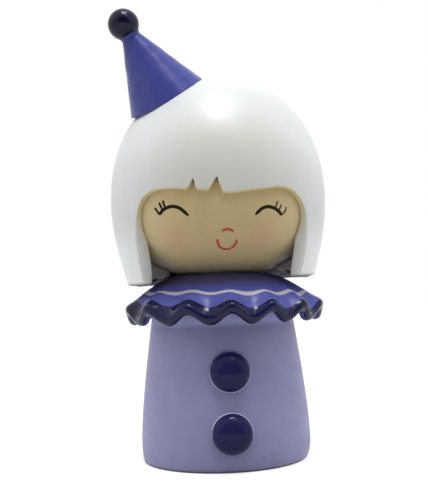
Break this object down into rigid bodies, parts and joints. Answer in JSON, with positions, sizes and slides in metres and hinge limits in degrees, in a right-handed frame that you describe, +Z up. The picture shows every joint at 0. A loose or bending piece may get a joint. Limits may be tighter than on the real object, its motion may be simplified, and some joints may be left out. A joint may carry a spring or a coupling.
{
  "type": "resin doll",
  "caption": "Small standing resin doll in a clown costume, with bobbed hair, cone hat, ruffled collar and domed buttons, and a message card that slides out of its base.",
  "frame": {"origin": "middle of the flat base, on the surface that the doll stands on", "axes": "+Z up through the neck, -Y out of the face, +X to the right of someone who faces the doll"},
  "size_m": [0.0448, 0.0448, 0.0915],
  "materials": {
    "lavender_resin": "satin painted resin, pale lavender",
    "blue_resin": "satin painted resin, blue violet, with a glossy dark hem and a white painted line on the collar",
    "navy_resin": "glossy painted resin, dark navy",
    "white_resin": "satin painted resin, white",
    "skin_resin": "satin painted resin, light tan, with a painted face",
    "peg_wood": "plain square peg",
    "pin_steel": "bare wire",
    "card_paper": "uncoated paper, folded"
  },
  "bodies": {
    "doll": {"body_casting": "lavender_resin", "collar_ruff": "blue_resin", "head_ball": "skin_resin", "hair_cap": "white_resin", "hat_cone": "blue_resin", "hat_bead": "navy_resin", "button_upper": "navy_resin", "button_lower": "navy_resin", "neck_peg": "peg_wood", "hat_pin": "pin_steel", "bead_pin": "pin_steel"},
    "card": {"message_card": "card_paper"}
  },
  "joints": [
    {"name": "card_slide", "type": "slide", "parent": "doll", "child": "card", "axis": [0, 0, -1], "range_m": [0, 0.026]}
  ]
}
